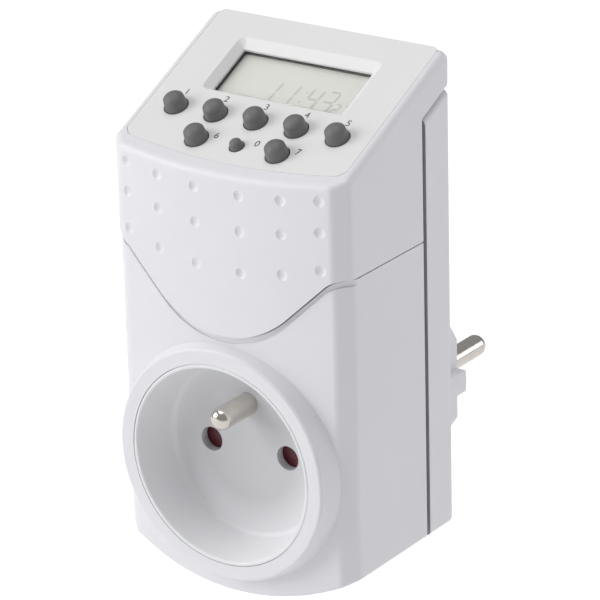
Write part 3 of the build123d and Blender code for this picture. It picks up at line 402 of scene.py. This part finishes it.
def laminate(name, colour, trace_colour):
    """Circuit board: lacquer over copper tracks in straight lanes."""
    material, tree, shader = principled(name, colour, lacquer_roughness)
    lanes = tree.nodes.new("ShaderNodeTexBrick")
    lanes.inputs["Scale"].default_value = 1 / lane_size
    lanes.inputs["Color1"].default_value = (*colour, 1)
    lanes.inputs["Color2"].default_value = (*colour, 1)
    lanes.inputs["Mortar"].default_value = (*trace_colour, 1)
    lanes.inputs["Mortar Size"].default_value = track_width
    on_object(tree, lanes)
    tree.links.new(lanes.outputs["Color"], shader.inputs["Base Color"])
    dent_by(tree, shader, lanes.outputs["Fac"], track_depth, track_strength)
    return material


def clear(name, tint, roughness):
    """Clear acrylic that lets the lamps through to what lies under it."""
    material, tree, shader = principled(name, tint, roughness)
    shader.inputs["Transmission Weight"].default_value = 1.0
    shader.inputs["IOR"].default_value = acrylic_ior
    roughen_by(tree, shader, speckle(tree, smear_size), roughness, roughness + smear_haze)
    through = tree.nodes.new("ShaderNodeBsdfTransparent")
    path = tree.nodes.new("ShaderNodeLightPath")
    mix = tree.nodes.new("ShaderNodeMixShader")
    output = next(node for node in tree.nodes if node.type == "OUTPUT_MATERIAL")
    tree.links.new(path.outputs["Is Shadow Ray"], mix.inputs[0])
    tree.links.new(shader.outputs[0], mix.inputs[1])
    tree.links.new(through.outputs[0], mix.inputs[2])
    tree.links.new(mix.outputs[0], output.inputs["Surface"])
    return material


def wound(name, colour):
    """Enamelled wire, wound in close turns round the Y axis."""
    material, tree, shader = principled(name, colour, enamel_roughness, enamel_metallic)
    turns = waves(tree, "Y", wire_spacing)
    dent_by(tree, shader, turns.outputs["Fac"], wire_depth)
    return material


white_casing = moulded("white_casing", casing_colour, casing_roughness)
# painted shade: the socket's floor darkens towards its middle, where the recess shades it
recess_white_painted_shade = painted_shade_tone(
    "recess_white_painted_shade", (0.86, 0.86, 0.875), (0.60, 0.60, 0.615), 0.45, (1, 0, 1), recess_rim, recess_middle
)
rear_white_painted_gap_shade = painted_shade_tone(                                      # painted shade, dark in the parting gap
    "rear_white_painted_gap_shade", casing_colour, (0.12, 0.12, 0.12), casing_roughness,
    (0, 1, 0), parting_edge, parting_edge + parting_blend,
)
panel_white = moulded("panel_white", (0.87, 0.865, 0.86), 0.38, depth=0.002 * MM)
key_grey = moulded("key_grey", (0.165, 0.165, 0.167), 0.5, depth=0.006 * MM, shade=0.94)
shutter_red = moulded("shutter_red", (0.10, 0.008, 0.018), 0.30)
inner_white = moulded("inner_white", (0.68, 0.68, 0.66), 0.5)
mat_rubber = moulded("mat_rubber", (0.42, 0.43, 0.44), 0.7, depth=0.01 * MM)
relay_blue = moulded("relay_blue", (0.03, 0.06, 0.22), 0.3)
capacitor_red = moulded("capacitor_red", (0.30, 0.05, 0.03), 0.3)
sleeve_black = moulded("sleeve_black", (0.02, 0.02, 0.022), 0.35)
ribbon_grey = moulded("ribbon_grey", (0.35, 0.36, 0.38), 0.5)
display_face = moulded("display_face", (0.455, 0.46, 0.425), 0.35, depth=0.0005 * MM, shade=0.97)
display_ink = moulded("display_ink", (0.33, 0.335, 0.31), 0.4)
gasket_black = moulded("gasket_black", (0.035, 0.036, 0.036), 0.5)
print_ink = moulded("print_ink", (0.08, 0.08, 0.085), 0.5)
nickel = turned("nickel", (0.74, 0.70, 0.64), 0.16)
zinc = turned("zinc", (0.62, 0.62, 0.60), 0.35)
steel = stamped("steel", (0.56, 0.56, 0.55), 0.35)
brass = stamped("brass", (0.72, 0.52, 0.22), 0.32)
board_green = laminate("board_green", (0.02, 0.12, 0.05), (0.05, 0.22, 0.09))
lens_clear = clear("lens_clear", (1.0, 1.0, 1.0), 0.02)
winding = wound("winding", (0.50, 0.20, 0.07))

finishes = {
    white_casing: ["upper_front_shell", "lower_front_shell"],
    rear_white_painted_gap_shade: ["rear_shell"],
    recess_white_painted_shade: ["socket_cup"],
    panel_white: ["control_panel"],
    key_grey: [f"key_{number}" for number in range(1, 8)] + ["reset_key"],
    shutter_red: ["shutter"],
    inner_white: ["contact_carrier", "relay_base"],
    mat_rubber: ["keypad_mat", "lcd_connector"],
    relay_blue: ["relay_cover"],
    capacitor_red: ["film_capacitor"],
    sleeve_black: ["electrolytic_capacitor", "rectifier_diodes"],
    ribbon_grey: ["ribbon_cable"],
    display_face: ["lcd_glass"],
    gasket_black: ["display_gasket"],
    nickel: ["earth_pin", "plug_pin_live", "plug_pin_neutral"],
    steel: ["shutter_spring", "relay_yoke", "relay_armature", "backup_cell"],
    zinc: ["case_screws", "board_screws"],
    brass: [
        "earth_strip", "plug_earth_clip", "plug_earth_sleeve", "live_contact",
        "neutral_contact", "live_feed", "relay_fixed_contact",
    ],
    board_green: ["control_board", "power_board"],
    lens_clear: ["display_lens"],
    winding: ["relay_coil"],
}


def finish_nodes():
    """Give every CAD node its finish."""
    for material, names in finishes.items():
        for name in names:
            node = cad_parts[name]
            node.data.materials.clear()
            node.data.materials.append(material)


# ---- Panel print and display ----
def panel_place():
    """The plane of the control panel's face, with x to the right and y up the slope.

    Its origin is the middle of the face's rear edge.
    """
    _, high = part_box("control_panel")
    side = Vector((1, 0, 0))
    up_slope = Vector((0, cos(panel_slope), sin(panel_slope)))
    normal = side.cross(up_slope)
    place = Matrix((side, up_slope, normal)).transposed().to_4x4()
    place.translation = Vector((0, high.y, high.z))
    return place


def mesh_piece(name, bm, place, material):
    """Put a finished bmesh into place as a piece on the casing."""
    bmesh.ops.transform(bm, matrix=place, verts=bm.verts)
    bmesh.ops.recalc_face_normals(bm, faces=bm.faces)
    mesh = bpy.data.meshes.new(name)
    bm.to_mesh(mesh)
    bm.free()
    mesh.materials.append(material)
    piece = bpy.data.objects.new(name, mesh)
    bpy.context.scene.collection.objects.link(piece)
    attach(piece, "casing")


def bar(bm, start, end, width):
    """One segment of the display: a flat bar with pointed ends, leaning with the figures."""
    start = Vector((*start, 0))
    end = Vector((*end, 0))
    along = (end - start).normalized()
    aside = Vector((-along.y, along.x, 0)) * width / 2
    tip = along * width / 2
    corners = [
        start, start + tip + aside, end - tip + aside,
        end, end - tip - aside, start + tip - aside,
    ]
    lower, upper = (
        [bm.verts.new((c.x + figure_slant * c.y, c.y, height)) for c in corners]
        for height in (0, print_thickness)
    )
    bm.faces.new(lower)
    bm.faces.new(upper)
    for k in range(len(corners)):
        bm.faces.new((lower[k - 1], lower[k], upper[k], upper[k - 1]))


def digit(bm, number, left, size):
    """A seven-segment figure."""
    width, height, stroke = size
    right = left + width
    low = figure_low
    middle = low + height / 2
    high = low + height
    lines = {
        "a": ((left, high), (right, high)),
        "b": ((right, high), (right, middle)),
        "c": ((right, middle), (right, low)),
        "d": ((left, low), (right, low)),
        "e": ((left, middle), (left, low)),
        "f": ((left, high), (left, middle)),
        "g": ((left, middle), (right, middle)),
    }
    for name in segments[number]:
        start, end = (Vector(point) for point in lines[name])
        inset = (end - start).normalized() * stroke * segment_gap
        bar(bm, start + inset, end - inset, stroke)


def add_display_figures():
    """The time in large figures, and the seconds in small ones at the right."""
    bm = bmesh.new()
    for figures, size in ((time_figures, time_size), (second_figures, second_size)):
        for number, left in figures:
            digit(bm, number, left * MM, size)
    for height in colon_heights:
        bar(bm, (colon_left, height), (colon_right, height), colon_stroke)
    lift = -display_depth - print_thickness / 2
    place = panel_place() @ Matrix.Translation((0, window_centre, lift))
    mesh_piece("display_figures", bm, place, display_ink)


def add_number(bm, text, across, along):
    """A plain number on the panel, as flat as print."""
    curve = bpy.data.curves.new("mark", "FONT")
    curve.body = text
    curve.size = number_size
    curve.align_x = "CENTER"
    curve.extrude = print_thickness / 2
    holder = bpy.data.objects.new("mark", curve)
    bpy.context.scene.collection.objects.link(holder)
    bpy.context.view_layer.update()
    mesh = bpy.data.meshes.new_from_object(holder)
    mesh.transform(Matrix.Translation((across, along, print_lift)))
    bm.from_mesh(mesh)
    bpy.data.objects.remove(holder)
    bpy.data.curves.remove(curve)
    bpy.data.meshes.remove(mesh)


def add_panel_print():
    """Plain numbers by the keys."""
    bm = bmesh.new()
    rows = (
        (upper_numbers, 0, key_row + number_above),
        (lower_numbers, number_beside, key_lower_row + number_rise),
    )
    for numbers, aside, along in rows:
        for index, text in enumerate(numbers):
            step = index - len(numbers) // 2
            add_number(bm, text, step * key_pitch + aside, along)
    mesh_piece("panel_print", bm, panel_place(), print_ink)


add_camera()
add_world()
add_floor()
for lamp_name, lamp_place, lamp_size, lamp_power in lamps:
    add_lamp(lamp_name, Vector(lamp_place) * lamp_distance, lamp_size, lamp_power)
finish_nodes()
add_display_figures()
add_panel_print()

bpy.context.scene.view_settings.view_transform = "Standard"
